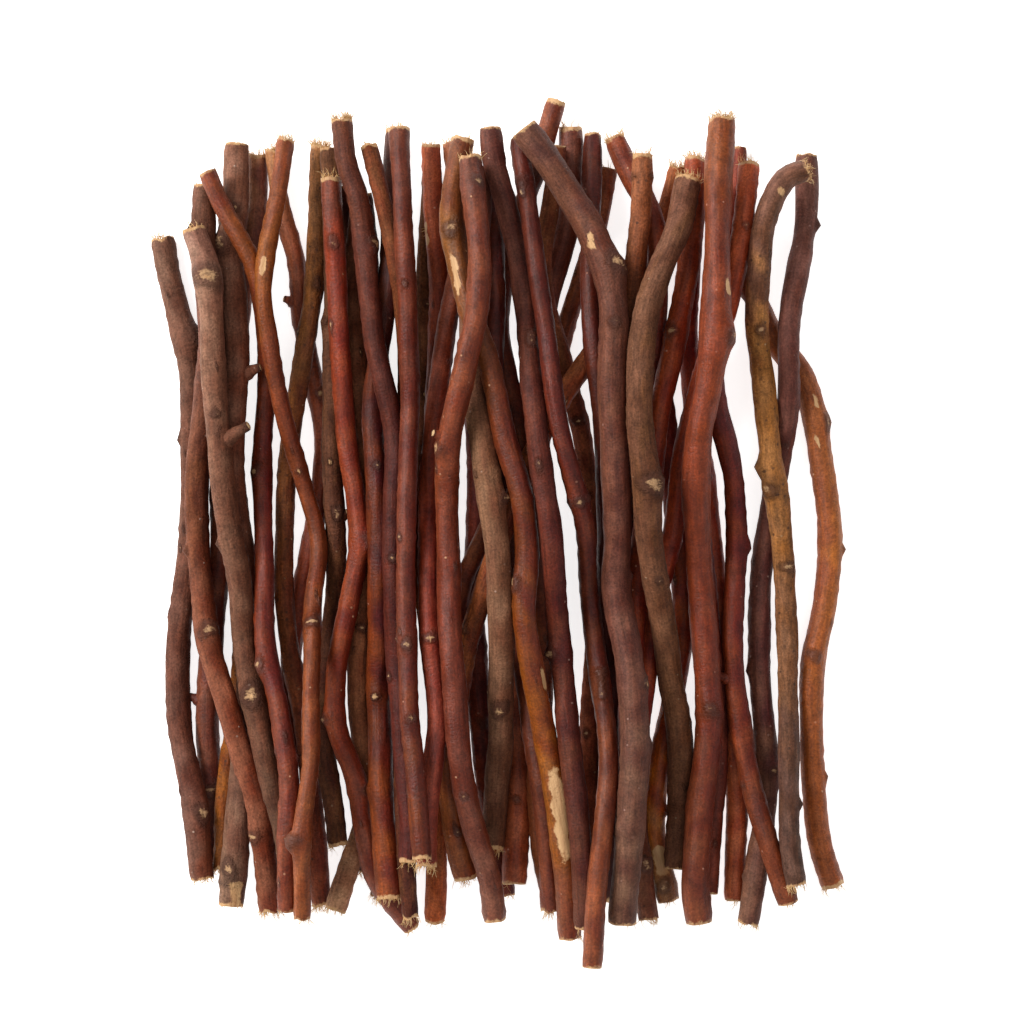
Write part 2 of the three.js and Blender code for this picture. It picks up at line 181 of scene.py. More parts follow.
# dried bark as it grew, thin and smooth over the wood: half matt, streaked lengthwise, dotted with
# pale pores, darker round the knots, and rubbed through to bare wood in places
def makeBark(name, look):
    material = bpy.data.materials.new(name)
    material.use_nodes = True
    tree = material.node_tree
    tree.nodes.clear()
    place = addNode(tree, "Attribute", attribute_name="barkPlace").outputs["Vector"]
    # the tint carries the bark's colour with painted light on the twig's left side and painted shade on its
    # right
    tintAndShade = addNode(tree, "Attribute", attribute_name="barkTint").outputs["Color"]
    knot = addNode(tree, "Attribute", attribute_name="knot").outputs["Fac"]
    bare = addNode(tree, "Attribute", attribute_name="bare").outputs["Fac"]

    # noises drawn out along the twig: size across and along, detail, roughness, distortion
    drawnOut = {}
    for key, size, detail, rough, warp in (
        ("streaks", look["streak"], 4, 0.6, 0),
        ("patches", barkSizes["patch"], 3, 0.55, 0.4),
        ("wrinkles", barkSizes["wrinkle"], 2, 0.5, 0),
    ):
        wide, long = size
        scaled = addNode(tree, "Mapping", {"Vector": place, "Scale": (1 / wide, 1 / wide, 1 / long)})
        drawnOut[key] = addNode(tree, "TexNoise", {"Vector": scaled.outputs[0], "Scale": 1, "Detail": detail,
                                                   "Roughness": rough, "Distortion": warp}).outputs["Fac"]
    streaks, patches, wrinkles = drawnOut.values()
    mottle = addNode(tree, "TexNoise", {"Vector": place, "Scale": 1 / barkSizes["mottle"], "Detail": 5,
                                        "Roughness": 0.65}).outputs["Fac"]
    grain = addNode(tree, "TexNoise", {"Vector": place, "Scale": 1 / barkSizes["grain"], "Detail": 3,
                                       "Roughness": 0.6}).outputs["Fac"]

    # skin colour: blotches first, then streaks, mottling and grain darken or lighten it
    begin, full = barkEdges["patch"]
    patchShare = addNode(tree, "MapRange", {"Value": patches, "From Min": begin, "From Max": full,
                                            "To Min": 0, "To Max": look["patchAmount"]}).outputs[0]
    colour = addNode(tree, "Mix", {0: patchShare, mixA: tintAndShade, mixB: paint(look["patch"])},
                     data_type="RGBA").outputs[mixResult]
    for source, swing in ((streaks, look["shade"]), (mottle, 0.26), (grain, 0.34)):
        level = addNode(tree, "MapRange", {"Value": source, "From Min": 0.3, "From Max": 0.7,
                                           "To Min": 1 - swing, "To Max": 1 + swing}).outputs[0]
        colour = addNode(tree, "Mix", {0: 1.0, mixA: colour, mixB: level}, data_type="RGBA",
                         blend_type="MULTIPLY").outputs[mixResult]

    # dark specks and pale pores, each a small round spot in its own cell
    for cell, radius, amount, code in (
        (barkSizes["speckCell"], barkSizes["speckRadius"], look["speck"], woodColours["speck"]),
        (barkSizes["dotCell"], barkSizes["dotRadius"], look["dots"], look["dotColour"]),
    ):
        cells = addNode(tree, "TexVoronoi", {"Vector": place, "Scale": 1 / cell, "Randomness": 1.0})
        shape = addNode(tree, "MapRange", {"Value": cells.outputs["Distance"], "From Min": radius,
                                           "From Max": radius * 0.55, "To Min": 0, "To Max": 1}).outputs[0]
        chosen = addNode(tree, "SeparateColor", {"Color": cells.outputs["Color"]}).outputs[0]
        gate = addNode(tree, "MapRange", {"Value": chosen, "From Min": 0.25, "From Max": 0.9,
                                          "To Min": 0, "To Max": amount}).outputs[0]
        spot = addNode(tree, "Math", {0: shape, 1: gate}, operation="MULTIPLY").outputs[0]
        colour = addNode(tree, "Mix", {0: spot, mixA: colour, mixB: paint(code)},
                         data_type="RGBA").outputs[mixResult]

    # knots: a darker shoulder round a small tan heart, ragged where the bark breaks
    ragged = knot
    for source, amount in ((mottle, 0.5), (grain, 0.7)):
        ragged = addNode(tree, "Math", {0: source, 1: amount, 2: ragged},
                         operation="MULTIPLY_ADD").outputs[0]
    knotShares = []
    for key, most in (("knotRim", 0.62), ("knotHeart", 0.85)):
        begin, full = barkEdges[key]
        share = addNode(tree, "MapRange", {"Value": ragged, "From Min": begin, "From Max": full,
                                           "To Min": 0, "To Max": most}).outputs[0]
        colour = addNode(tree, "Mix", {0: share, mixA: colour, mixB: paint(woodColours[key])},
                         data_type="RGBA").outputs[mixResult]
        knotShares.append(share)

    # bare wood where the bark has come off, with its own fine lengthwise grain
    edge = bare
    for source, amount in ((mottle, 1.3), (grain, 0.4)):
        edge = addNode(tree, "Math", {0: source, 1: amount, 2: edge}, operation="MULTIPLY_ADD").outputs[0]
    begin, full = barkEdges["bare"]
    bareShare = addNode(tree, "MapRange", {"Value": edge, "From Min": begin, "From Max": full,
                                           "To Min": 0, "To Max": 1}).outputs[0]
    begin, full = barkEdges["bareGrain"]
    woodShare = addNode(tree, "MapRange", {"Value": streaks, "From Min": begin, "From Max": full,
                                           "To Min": 0, "To Max": 0.7}).outputs[0]
    wood = addNode(tree, "Mix", {0: woodShare, mixA: paint(woodColours["bare"]),
                                 mixB: paint(woodColours["bareDark"])}, data_type="RGBA").outputs[mixResult]
    colour = addNode(tree, "Mix", {0: bareShare, mixA: colour, mixB: wood},
                     data_type="RGBA").outputs[mixResult]

    low, high = look["rough"]
    roughness = addNode(tree, "MapRange", {"Value": mottle, "From Min": 0.3, "From Max": 0.7,
                                           "To Min": high, "To Max": low}).outputs[0]

    # relief: fine grain first, then what stands higher, up to the crust round a knot
    crust = addNode(tree, "Math", {0: knotShares[0], 1: mottle}, operation="MULTIPLY").outputs[0]
    height = grain
    for source, amount in ((wrinkles, 0.5), (streaks, 0.9), (spot, 1.2), (crust, 5)):
        height = addNode(tree, "Math", {0: source, 1: amount, 2: height},
                         operation="MULTIPLY_ADD").outputs[0]
    relief = addNode(tree, "Bump", {"Height": height, "Strength": look["bump"],
                                    "Distance": barkSizes["relief"] * mm}).outputs[0]
    skin = addNode(tree, "BsdfPrincipled", {"Base Color": colour, "Roughness": roughness,
                                            "Normal": relief, "IOR": 1.48,
                                            "Specular IOR Level": look["shine"]})
    addNode(tree, "OutputMaterial", {"Surface": skin.outputs[0]})
    return material


cutLook = {"pale": "#d9b98a", "dark": "#9a6a44", "fibre": 0.35, "relief": 0.2}  # the last two in mm


# snipped or torn wood at the ends: pale, dry, matt and mottled with broken fibres
def makeCutWood(name, look):
    material = bpy.data.materials.new(name)
    material.use_nodes = True
    tree = material.node_tree
    tree.nodes.clear()
    place = addNode(tree, "Attribute", attribute_name="barkPlace").outputs["Vector"]
    fibres = addNode(tree, "TexNoise", {"Vector": place, "Scale": 1 / look["fibre"], "Detail": 4,
                                        "Roughness": 0.7}).outputs["Fac"]
    share = addNode(tree, "MapRange", {"Value": fibres, "From Min": 0.35, "From Max": 0.7,
                                       "To Min": 0, "To Max": 1}).outputs[0]
    colour = addNode(tree, "Mix", {0: share, mixA: paint(look["pale"]), mixB: paint(look["dark"])},
                     data_type="RGBA").outputs[mixResult]
    relief = addNode(tree, "Bump", {"Height": fibres, "Strength": 0.7,
                                    "Distance": look["relief"] * mm}).outputs[0]
    wood = addNode(tree, "BsdfPrincipled", {"Base Color": colour, "Roughness": 0.8, "Normal": relief,
                                            "IOR": 1.48})
    addNode(tree, "OutputMaterial", {"Surface": wood.outputs[0]})
    return material


strawLook = {"pale": "#e0c08e", "dark": "#b98950", "strand": 0.8}  # the last in mm


# loose bast fibre from under the bark: dry, matt and straw-coloured, paler and darker along a strand
def makeStraw(name, look):
    material = bpy.data.materials.new(name)
    material.use_nodes = True
    tree = material.node_tree
    tree.nodes.clear()
    place = addNode(tree, "Attribute", attribute_name="barkPlace").outputs["Vector"]
    strands = addNode(tree, "TexNoise", {"Vector": place, "Scale": 1 / look["strand"],
                                         "Detail": 2}).outputs["Fac"]
    share = addNode(tree, "MapRange", {"Value": strands, "From Min": 0.35, "From Max": 0.65,
                                       "To Min": 0, "To Max": 1}).outputs[0]
    colour = addNode(tree, "Mix", {0: share, mixA: paint(look["pale"]), mixB: paint(look["dark"])},
                     data_type="RGBA").outputs[mixResult]
    straw = addNode(tree, "BsdfPrincipled", {"Base Color": colour, "Roughness": 0.75, "IOR": 1.45})
    addNode(tree, "OutputMaterial", {"Surface": straw.outputs[0]})
    return material


barks = {tone: makeBark(tone + "Bark", look) for tone, look in barkLooks.items()}
cutWood = makeCutWood("cutWood", cutLook)
straw = makeStraw("bastStraw", strawLook)
print("finishes made:", len(barks) + 2)


# the blank: one straight twig, which every twig is a bent copy of
blankSize = {"sides": 36, "rings": 340, "rims": (0.1, 0.45)}  # rims: insets in the end faces


def makeBlank(size):
    bpy.ops.object.select_all(action="DESELECT")
    bpy.ops.mesh.primitive_cylinder_add(vertices=size["sides"], radius=1, depth=1, end_fill_type="NGON")
    blank = bpy.context.object
    bpy.ops.object.mode_set(mode="EDIT")
    bpy.ops.mesh.select_mode(type="EDGE")
    bpy.ops.mesh.select_all(action="DESELECT")
    shape = bmesh.from_edit_mesh(blank.data)
    for edge in shape.edges:  # the long ones
        edge.select = abs(edge.verts[0].co.z - edge.verts[1].co.z) > 0.5
    bmesh.update_edit_mesh(blank.data)
    bpy.ops.mesh.subdivide(number_cuts=size["rings"] - 1)
    bpy.ops.mesh.select_mode(type="FACE")
    bpy.ops.mesh.select_all(action="DESELECT")
    shape = bmesh.from_edit_mesh(blank.data)
    for face in shape.faces:  # the two ends
        face.select = abs(face.normal.z) > 0.5
    bmesh.update_edit_mesh(blank.data)
    for rim in size["rims"]:
        bpy.ops.mesh.inset(thickness=rim, use_individual=True)
    bpy.ops.mesh.poke()
    bpy.ops.object.mode_set(mode="OBJECT")
    return blank


blank = makeBlank(blankSize)
blankPoints = np.array([v.co for v in blank.data.vertices])
blankFaces = [tuple(p.vertices) for p in blank.data.polygons]
blankEnds = np.array([abs(p.normal.z) > 0.5 for p in blank.data.polygons])
bpy.data.objects.remove(blank)
blankAlong = 0.5 - blankPoints[:, 2]  # 0 at the first end, 1 at the last
blankReach = np.hypot(blankPoints[:, 0], blankPoints[:, 1])  # 0 in the middle, 1 at the skin
blankTurn = np.arctan2(blankPoints[:, 0], -blankPoints[:, 1])  # 0 on top, a quarter turn faces +x
print("blank twig:", len(blankFaces), "faces")


# bark: its tone. lighter: what its tints are multiplied by, since the lowest lie in deep shade.
# ends: how the first (+y) and the last end were cut or torn, each with its number of fibre locks.
# tints: the colour along the twig, as (mm along y, left side, right side), with painted light on the left
# and painted shade on the right over the bark's own colour.
# marks: what grows on it, as (kind, mm along y, degrees from the top, size in mm). 90 faces +x.
# A peel is (kind, from y, to y, degrees from the top, half its width in degrees). A tuft ends with
# its number of fibres.
twigs = {
    "twig_01": {
        "bark": "darkRed", "lighter": 2.1, "ends": ("torn", 12, "cut", 4),
        "tintsAndShade": [(70, "#6e4636", "#55302a"), (20, "#5a3228", "#46241e"), (-60, "#543028", "#42241e")],
        "marks": [("stub", -35.2, -80, 1.4), ("knot", -53.6, 5, 1.2)],
    },
    "twig_02": {
        "bark": "ochre", "lighter": 0.8, "ends": ("cut", 0, "torn", 16),
        "tintsAndShade": [(60, "#6c4428", "#5c3420"), (-20, "#7a4a28", "#6c3a20"), (-50, "#9a5a26", "#7a3f1e")],
        "marks": [("knot", -46, 20, 0.8)],
    },
    "twig_03": {
        "bark": "russet", "lighter": 1.5, "ends": ("torn", 18, "cut", 3),
        "tintsAndShade": [(76, "#9a6e50", "#8a5a3e"), (60, "#84503e", "#6e3a2c"), (0, "#743a2c", "#5e2a20"),
                  (-60, "#723a2c", "#5c2c22")],
        "marks": [("stub", 46.2, -75, 1.3), ("knot", 27, 20, 1.2), ("knot", 60, -10, 0.7)],
    },
    "twig_04": {
        "bark": "ochre", "lighter": 1.5, "ends": ("torn", 34, "torn", 18),
        "tintsAndShade": [(76, "#7a5434", "#5e3c22"), (40, "#6e4626", "#54301a"), (-60, "#6a3826", "#55291c")],
        "marks": [("ring", 66, 0, 1.0), ("knot", 49, 15, 0.9)],
    },
    "twig_05": {
        "bark": "darkRed", "lighter": 1.6, "ends": ("torn", 12, "torn", 12),
        "tintsAndShade": [(60, "#4e2a20", "#3c1e18"), (-60, "#4c2a22", "#3a201a")],
        "marks": [("knot", 10, 0, 0.9)],
    },
    "twig_06": {
        "bark": "greyTaupe", "lighter": 2.1, "ends": ("cut", 0, "torn", 10),
        "tintsAndShade": [(60, "#5e3c2e", "#4c2c22"), (-50, "#64402e", "#503024"), (-75, "#86654e", "#6e4c3a")],
        "marks": [("ring", -67.5, 0, 1.6), ("knot", -20, 10, 1.0)],
    },
    "twig_07": {
        "bark": "darkRed", "lighter": 1.6, "ends": ("cut", 0, "torn", 16),
        "tintsAndShade": [(60, "#4a281e", "#381c16"), (-70, "#482820", "#361c16")],
        "marks": [("knot", -30, -10, 0.9)],
    },
    "twig_08": {
        "bark": "darkRed", "lighter": 3.2, "ends": ("cut", 0, "cut", 6),
        "tintsAndShade": [(50, "#4c241c", "#3a1a14"), (-70, "#4c281e", "#3c1e18")],
        "marks": [("stub", -10.2, -60, 2.6), ("knot", -40, 10, 0.9)],
    },
    "twig_09": {
        "bark": "darkRed", "lighter": 2.4, "ends": ("cut", 3, "cut", 0),
        "tintsAndShade": [(70, "#6a3a2a", "#542a1e"), (-50, "#5a3022", "#46241a")],
        "marks": [("knot", 35, 0, 0.8), ("stub", 7, 70, 1.6)],
    },
    "twig_10": {
        "bark": "russet", "lighter": 1.9, "ends": ("rim", 6, "cut", 2),
        "tintsAndShade": [(75, "#664038", "#4e2c26"), (20, "#5e342c", "#4a2620"), (-60, "#7c4432", "#663224")],
        "marks": [("ring", 76, 0, 1.3), ("ring", 73.5, 0, 0.8), ("knot", -56, -10, 0.7)],
    },
    "twig_11": {
        "bark": "russet", "ends": ("rim", 4, "torn", 8),
        "tintsAndShade": [(84, "#8c4e36", "#6e3424"), (50, "#6e3828", "#58281e"), (-60, "#7c4630", "#663424")],
        "marks": [("knot", 72, 10, 0.8), ("knot", 24, -10, 1.0)],
    },
    "twig_12": {
        "bark": "russet", "ends": ("cut", 0, "torn", 8),
        "tintsAndShade": [(60, "#5e2e22", "#4a221a"), (-70, "#744030", "#5e2e24")],
        "marks": [("knot", -52, 30, 0.8)],
    },
    "twig_13": {
        "bark": "olive", "lighter": 2.6, "ends": ("cut", 0, "cut", 8),
        "tintsAndShade": [(70, "#5a3828", "#46281e"), (-60, "#5e3628", "#4a281e")],
        "marks": [("knot", 22, 0, 1.0), ("knot", -42, -20, 0.8)],
    },
    "twig_14": {
        "bark": "ochre", "lighter": 2.1, "ends": ("torn", 40, "cut", 0),
        "tintsAndShade": [(70, "#7c4a2e", "#643420"), (0, "#6a3c26", "#54291c"), (-45, "#6c4026", "#562e1c")],
        "marks": [("knot", 40, 10, 0.9), ("stub", -12, 60, 2.2), ("knot", -20, -30, 0.8)],
    },
    "twig_15": {
        "bark": "russet", "lighter": 0.65, "ends": ("cut", 3, "torn", 8),
        "tintsAndShade": [(76, "#743a2a", "#5c281e"), (0, "#602e24", "#4a221a"), (-70, "#5e3028", "#4a2420")],
        "marks": [("knot", 60, 0, 0.8), ("knot", 5, 15, 0.8)],
    },
    "twig_16": {
        "bark": "orange", "lighter": 1.4, "ends": ("torn", 20, "cut", 3),
        "tintsAndShade": [(75, "#7a3e2a", "#622c1e"), (10, "#742f20", "#5e2218"), (-50, "#8a4420", "#7a3414"),
                  (-58, "#a85c22", "#8c4416"), (-72, "#8a6042", "#744a30")],
        "marks": [("swell", 13, -60, 2.0), ("tuft", 15, -70, 7), ("bud", -57.6, 75, 1.4),
                  ("peel", -65, -71, 10, 40), ("knot", -73, -10, 1.3), ("knot", 52, 10, 0.8)],
    },
    "twig_17": {
        "bark": "ochre", "ends": ("rim", 8, "torn", 10),
        "tintsAndShade": [(74, "#9a6240", "#7e4628"), (50, "#7e4a30", "#66341f"), (-60, "#7a4c36", "#623626")],
        "marks": [("ring", 70, 0, 1.2), ("knot", -66, -25, 1.5), ("knot", -68.6, 30, 1.3),
                  ("tuft", -66, -40, 10), ("knot", 20, 0, 0.8)],
    },
    "twig_18": {
        "bark": "russet", "lighter": 2.5, "ends": ("cut", 0, "cut", 5),
        "tintsAndShade": [(50, "#6e2e20", "#582218"), (-70, "#74402e", "#5e2e22")],
        "marks": [("knot", 10, 10, 0.9), ("bud", -20, 75, 0.9)],
    },
    "twig_19": {
        "bark": "plum", "lighter": 2.0, "ends": ("cut", 4, "cut", 3),
        "tintsAndShade": [(74, "#74403a", "#5a2c28"), (0, "#5c2c24", "#46201a"), (-70, "#643630", "#4e2822")],
        "marks": [("knot", 0, 0, 0.7)],
    },
    "twig_20": {
        "bark": "orange", "lighter": 1.1, "ends": ("cut", 0, "rim", 10),
        "tintsAndShade": [(55, "#7e4428", "#6a3420"), (30, "#9c5c36", "#8a4826"), (5, "#9a5534", "#9c5a2c"),
                  (-20, "#8e4c2c", "#96542a"), (-50, "#94502c", "#8c4824"), (-70, "#9a5632", "#8a4826")],
        "marks": [("knot", 21, 60, 1.3), ("bud", -4.6, 80, 0.8), ("bud", -2.6, -80, 0.8),
                  ("knot", -26.2, -5, 1.2), ("bud", -51.2, 75, 1.1), ("peel", 27, 24, 20, 12),
                  ("peel", 19, 16, -10, 10), ("ring", -64, 0, 0.8)],
    },
    "twig_21": {
        "bark": "russet", "lighter": 2.3, "ends": ("rim", 14, "cut", 0),
        "tintsAndShade": [(70, "#8c4a34", "#74341f"), (30, "#7a3828", "#62281c"), (-50, "#6c3426", "#54241a")],
        "marks": [("knot", 44, -20, 1.0), ("knot", 60, 15, 0.7)],
    },
    "twig_22": {
        "bark": "olive", "ends": ("cut", 6, "rim", 10),
        "tintsAndShade": [(76, "#6a4a34", "#54382a"), (30, "#604232", "#4c3024"), (-30, "#5a3a2c", "#46281e"),
                  (-60, "#583a2a", "#44281c")],
        "marks": [("knot", 41, -60, 1.2), ("scar", 13.4, -5, 0.8), ("knot", 3, 15, 1.3),
                  ("stub", 2.4, 70, 0.9)],
    },
    "twig_23": {
        "bark": "olive", "lighter": 1.5, "ends": ("rim", 8, "cut", 10),
        "tintsAndShade": [(70, "#64442f", "#4e3022"), (20, "#5c3c2a", "#4c2a1e"), (-20, "#7a4426", "#66331c"),
                  (-70, "#8c4e30", "#7a3e24")],
        "marks": [("scar", 27, -5, 1.0), ("knot", 45, 20, 0.9), ("knot", -40, 10, 0.8)],
    },
    "twig_24": {
        "bark": "russet", "lighter": 1.8, "ends": ("rim", 8, "rim", 14),
        "tintsAndShade": [(76, "#8a4a34", "#74382a"), (40, "#6c3426", "#58281e"), (-60, "#74442c", "#5c3020")],
        "marks": [("peel", 62, 57, -60, 22), ("tuft", 60, -80, 8), ("knot", -60, 10, 0.9)],
    },
    "twig_25": {
        "bark": "greyTaupe", "ends": ("cut", 4, "rim", 8),
        "tintsAndShade": [(76, "#86604f", "#6e4636"), (30, "#7c5444", "#66382a"), (-30, "#6a4638", "#523228"),
                  (-74, "#80604e", "#66463a")],
        "marks": [("knot", 57, -40, 1.7), ("stub", 31.4, 80, 2.3), ("knot", 64, 10, 0.7),
                  ("knot", -68.6, -15, 1.7), ("peel", -71, -75, 25, 32), ("ring", -71.5, 0, 1.3)],
    },
    "twig_26": {
        "bark": "greyTaupe", "lighter": 0.8, "ends": ("torn", 12, "torn", 12),
        "tintsAndShade": [(58, "#8a6654", "#6e4a3c"), (30, "#7a5444", "#603c30"), (-30, "#70493c", "#583228"),
                  (-55, "#765044", "#64362a"), (-70, "#7a5648", "#743c28")],
        "marks": [("knot", 38.2, 70, 1.7), ("swell", 38.2, 70, 2.0), ("bud", 18.2, -75, 1.1),
                  ("bud", -18, -70, 0.9), ("knot", -58.2, 35, 1.5), ("ring", -58.6, 0, 0.6)],
    },
    "twig_27": {
        "bark": "russet", "lighter": 1.7, "ends": ("torn", 22, "cut", 0),
        "tintsAndShade": [(74, "#8a4630", "#6e3020"), (40, "#84402a", "#6e2c1c"), (-50, "#6e3426", "#54241a")],
        "marks": [("knot", 38.8, -25, 1.4), ("ring", 38, 0, 0.7), ("knot", 8, 10, 0.8)],
    },
    "twig_28": {
        "bark": "plum", "lighter": 1.5, "ends": ("cut", 2, "torn", 8),
        "tintsAndShade": [(74, "#6e4c4a", "#523430"), (30, "#5e3c3a", "#4c2a26"), (-30, "#5a3a34", "#46282a"),
                  (-76, "#664840", "#503430")],
        "marks": [("bud", 61.4, 80, 1.3), ("bud", 55, 75, 0.8), ("scar", 16.8, 0, 1.15),
                  ("bud", -29, -75, 1.2), ("knot", -50, 25, 1.2), ("bud", -71, -70, 1.0)],
    },
    "twig_29": {
        "bark": "orange", "ends": ("rim", 12, "cut", 6),
        "tintsAndShade": [(70, "#7e4838", "#6a3628"), (55, "#8a3c28", "#7a2c1a"), (0, "#8a4028", "#6c2a1a"),
                  (-40, "#8c4228", "#782e1c"), (-75, "#7e4434", "#683024")],
        "marks": [("knot", 57, -5, 1.3), ("knot", -2.8, 55, 1.3), ("swell", -2.8, 60, 1.6),
                  ("knot", -38.2, -70, 1.1), ("bud", -38.2, -80, 0.8), ("knot", -53, 60, 1.0)],
    },
    "twig_30": {
        "bark": "darkRed", "ends": ("rim", 8, "rim", 22),
        "tintsAndShade": [(80, "#5e342a", "#48241e"), (30, "#5c2c20", "#441e16"), (-20, "#6e3220", "#4e2014"),
                  (-72, "#8c4226", "#702c1a")],
        "marks": [("scar", -34.2, -15, 1.0), ("knot", -34.2, -15, 0.9), ("bud", -53, -80, 1.0),
                  ("knot", 12, 10, 0.8)],
    },
    "twig_31": {
        "bark": "olive", "ends": ("rim", 6, "torn", 10),
        "tintsAndShade": [(76, "#7a4630", "#643422"), (40, "#6a3c26", "#54291c"), (-60, "#543226", "#40241c")],
        "marks": [("knot", 50, 0, 0.8), ("bud", -16, 70, 0.8)],
    },
    "twig_32": {
        "bark": "plum", "lighter": 0.68, "ends": ("torn", 40, "rim", 8),
        "tintsAndShade": [(80, "#84503e", "#6e3a2c"), (55, "#784238", "#5c2c24"), (10, "#64322a", "#4a201a"),
                  (-60, "#6a302a", "#4e221c")],
        "marks": [("knot", 56.4, 60, 1.4), ("bud", 61.8, 78, 0.9), ("knot", -6, 0, 0.8)],
    },
    "twig_33": {
        "bark": "russet", "lighter": 1.7, "ends": ("torn", 12, "rim", 22),
        "tintsAndShade": [(76, "#8a5844", "#744232"), (40, "#7a4234", "#5e2c22"), (0, "#6e3226", "#56241a"),
                  (-60, "#7a3e34", "#642e26")],
        "marks": [("knot", -22.2, 0, 1.4), ("scar", -22.2, 0, 0.8), ("knot", 57, -10, 0.7),
                  ("bud", -57, -80, 0.8)],
    },
    "twig_34": {
        "bark": "greyTaupe", "lighter": 1.35, "ends": ("cut", 0, "rim", 20),
        "tintsAndShade": [(60, "#64423a", "#4c2c26"), (20, "#74543f", "#58382a"), (-20, "#70503e", "#5a3a2c"),
                  (-62, "#684a3a", "#523428")],
        "marks": [("knot", 5.4, 70, 1.3), ("bud", 5.4, 78, 1.1), ("scar", -35.2, -5, 1.3),
                  ("knot", -35.2, -5, 1.4), ("ring", 14, 0, 0.6)],
    },
    "twig_35": {
        "bark": "orange", "lighter": 0.75, "ends": ("rim", 6, "cut", 3),
        "tintsAndShade": [(76, "#96583c", "#7c4028"), (55, "#9a6034", "#7a4424"), (20, "#7a3c26", "#62281a"),
                  (-15, "#84421f", "#6e2e16"), (-40, "#a85c26", "#8e4216"), (-60, "#a4602c", "#94501e"),
                  (-78, "#8e5038", "#74301e")],
        "marks": [("peel", 54, 46, -30, 20), ("knot", 58.4, -5, 1.3), ("knot", -11.2, -55, 1.3),
                  ("peel", -28, -33, 60, 22), ("peel", -48, -66.5, 12, 40), ("ring", -51.5, -30, 0.9)],
    },
    "twig_36": {
        "bark": "plum", "ends": ("cut", 2, "cut", 4),
        "tintsAndShade": [(78, "#6c4440", "#502c2a"), (40, "#683c34", "#4e2822"), (-10, "#64322a", "#4c221c"),
                  (-76, "#5e382e", "#482620")],
        "marks": [("ring", 37.2, 0, 1.6), ("knot", 37, 15, 1.2), ("knot", 12, -10, 1.0),
                  ("knot", -25, -50, 1.2), ("bud", -25, -75, 0.8)],
    },
    "twig_37": {
        "bark": "russet", "lighter": 0.85, "ends": ("cut", 0, "cut", 0),
        "tintsAndShade": [(66, "#6e3a30", "#54261e"), (20, "#6e3226", "#56241a"), (-40, "#74402e", "#5c2c20"),
                  (-84, "#985438", "#7e3e26")],
        "marks": [("ring", 5.6, 0, 1.5), ("knot", 5.6, 0, 0.9), ("knot", 68.5, -20, 1.2),
                  ("knot", -30, 10, 1.2), ("knot", -33.6, 5, 1.0)],
    },
    "twig_38": {
        "bark": "greyTaupe", "ends": ("cut", 5, "torn", 24),
        "tintsAndShade": [(66, "#6c4c3e", "#523428"), (40, "#785044", "#5e382c"), (10, "#70432f", "#582e22"),
                  (-40, "#834e3a", "#66301f"), (-74, "#84503c", "#6c3426")],
        "marks": [("bud", 60, -75, 1.0), ("knot", 30.2, 0, 1.3), ("bud", -4.4, -78, 1.2),
                  ("knot", -21.4, 15, 1.6), ("ring", -61.8, 0, 1.1), ("knot", -61.4, -40, 1.3)],
    },
    "twig_39": {
        "bark": "greyTaupe", "ends": ("rim", 5, "cut", 0),
        "tintsAndShade": [(58, "#967263", "#80584a"), (44, "#96705c", "#7c5240"), (20, "#7e5846", "#643e30"),
                  (-20, "#6c4a3a", "#533327"), (-66, "#5e4234", "#472c22")],
        "marks": [("scar", 49.4, 5, 1.6), ("knot", 49.4, 5, 2.1), ("stub", 17.8, 75, 4.2),
                  ("knot", 22.8, 0, 0.9), ("bud", -3.2, -78, 1.2), ("knot", -34, -5, 2.0),
                  ("scar", -34, -5, 1.3)],
    },
    "twig_40": {
        "bark": "orange", "lighter": 0.95, "ends": ("cut", 0, "cut", 3),
        "tintsAndShade": [(70, "#86462e", "#6c3020"), (55, "#7e4228", "#84461e"), (20, "#7a3626", "#5e2418"),
                  (-30, "#74341f", "#5e2416"), (-72, "#84442e", "#6c3020")],
        "marks": [("knot", 10.8, -35, 1.3), ("knot", -27.6, -55, 1.4), ("bud", -46, 80, 1.0),
                  ("knot", -42, 10, 0.7)],
    },
    "twig_41": {
        "bark": "orange", "lighter": 0.8, "ends": ("torn", 18, "cut", 5),
        "tintsAndShade": [(76, "#9a5334", "#84411f"), (54, "#a05c2e", "#8e4a1e"), (30, "#8a462c", "#70301c"),
                  (0, "#8e4a2e", "#763620"), (-40, "#94502f", "#783820"), (-74, "#9a5632", "#84411f")],
        "marks": [("peel", 53.6, 50, -8, 22), ("scar", 12, -5, 1.1), ("bud", -19.8, 5, 1.0),
                  ("knot", -19.8, 5, 1.2), ("bud", -61.8, -75, 1.6), ("knot", -61.8, -60, 1.2)],
    },
    "twig_42": {
        "bark": "russet", "lighter": 0.68, "ends": ("rim", 14, "rim", 8),
        "tintsAndShade": [(78, "#8a4e3c", "#74392b"), (40, "#804030", "#6a2c1e"), (0, "#8a4a3a", "#6a2a1e"),
                  (-62, "#7e4026", "#662c1a")],
        "marks": [("knot", -23.6, 0, 1.1), ("scar", -38.2, 0, 1.3), ("knot", 48, -10, 0.7),
                  ("bud", 30, 70, 0.7)],
    },
    "twig_43": {
        "bark": "orange", "lighter": 0.85, "ends": ("rim", 10, "cut", 0),
        "tintsAndShade": [(72, "#7c4a3a", "#64342a"), (55, "#864832", "#6c3020"), (20, "#8e4a30", "#76341c"),
                  (-10, "#7c3a28", "#682c1c"), (-50, "#7e4234", "#662e22"), (-76, "#8e5a48", "#7a4434")],
        "marks": [("knot", 67.4, 25, 1.2), ("stub", 18.2, -70, 1.3), ("knot", 16, -55, 1.2),
                  ("knot", -52, -10, 0.8)],
    },
    "twig_44": {
        "bark": "plum", "ends": ("cut", 3, "cut", 4),
